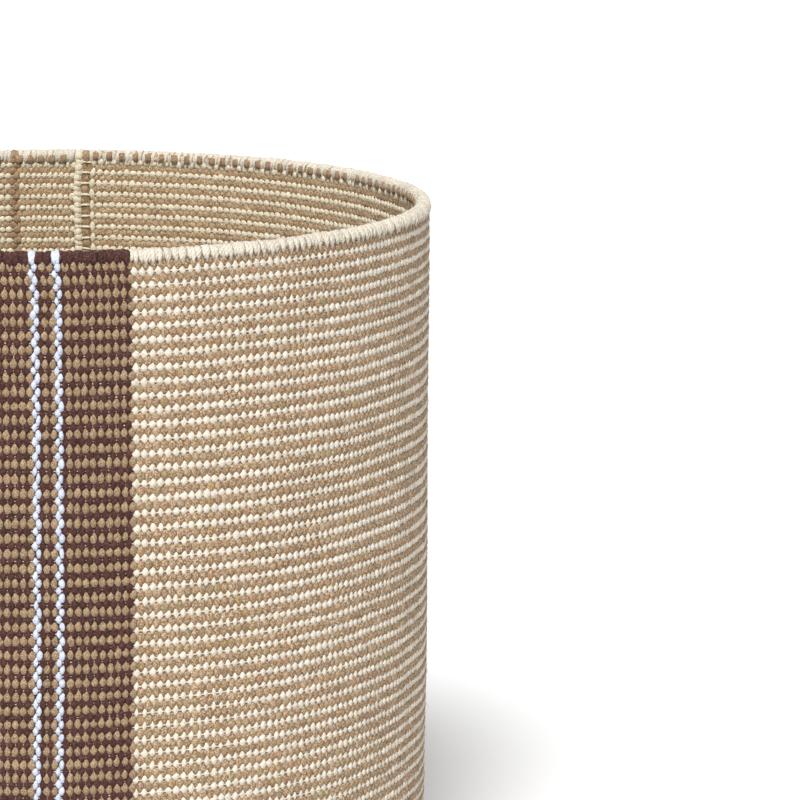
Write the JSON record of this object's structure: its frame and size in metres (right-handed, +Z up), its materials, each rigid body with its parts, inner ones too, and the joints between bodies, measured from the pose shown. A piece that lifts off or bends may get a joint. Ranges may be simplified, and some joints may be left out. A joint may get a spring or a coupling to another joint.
{
  "type": "handwoven basket",
  "caption": "Round upright basket of warp-faced woven cloth with a rolled corded rim, a dark stripe with pale lines down the front, and a flat woven base.",
  "frame": {"origin": "centre of the base, on the surface that the basket stands on", "axes": "+Z up along the basket's axis, -Y towards the front with the stripe, +X to the viewer's right"},
  "size_m": [0.4026, 0.4026, 0.38],
  "materials": {
    "natural_cloth": "handwoven cream and tan warp, matte",
    "brown_cloth": "handwoven dark brown and tan warp, matte",
    "lavender_cloth": "handwoven pale lavender warp, matte",
    "cream_yarn": "twisted cream yarn, matte",
    "cord": "laid natural fibre cord, matte"
  },
  "bodies": {
    "root": {"outer_wall_brown_left": "brown_cloth", "inner_wall_brown_left": "brown_cloth", "rim_turn_brown_left": "brown_cloth", "foot_turn_brown_left": "brown_cloth", "outer_wall_lavender_left": "lavender_cloth", "inner_wall_lavender_left": "lavender_cloth", "rim_turn_lavender_left": "lavender_cloth", "foot_turn_lavender_left": "lavender_cloth", "outer_wall_brown_middle": "brown_cloth", "inner_wall_brown_middle": "brown_cloth", "rim_turn_brown_middle": "brown_cloth", "foot_turn_brown_middle": "brown_cloth", "outer_wall_lavender_right": "lavender_cloth", "inner_wall_lavender_right": "lavender_cloth", "rim_turn_lavender_right": "lavender_cloth", "foot_turn_lavender_right": "lavender_cloth", "outer_wall_brown_right": "brown_cloth", "inner_wall_brown_right": "brown_cloth", "rim_turn_brown_right": "brown_cloth", "foot_turn_brown_right": "brown_cloth", "outer_wall_natural_right": "natural_cloth", "inner_wall_natural_right": "natural_cloth", "rim_turn_natural_right": "natural_cloth", "foot_turn_natural_right": "natural_cloth", "outer_wall_natural_left": "natural_cloth", "inner_wall_natural_left": "natural_cloth", "rim_turn_natural_left": "natural_cloth", "foot_turn_natural_left": "natural_cloth", "outer_seam_lacing": "cream_yarn", "inner_seam_lacing": "cream_yarn", "rim_cord": "cord", "foot_cord": "cord", "base_lower_disc": "natural_cloth", "base_upper_disc": "natural_cloth", "base_stitching": "cream_yarn"}
  },
  "joints": []
}
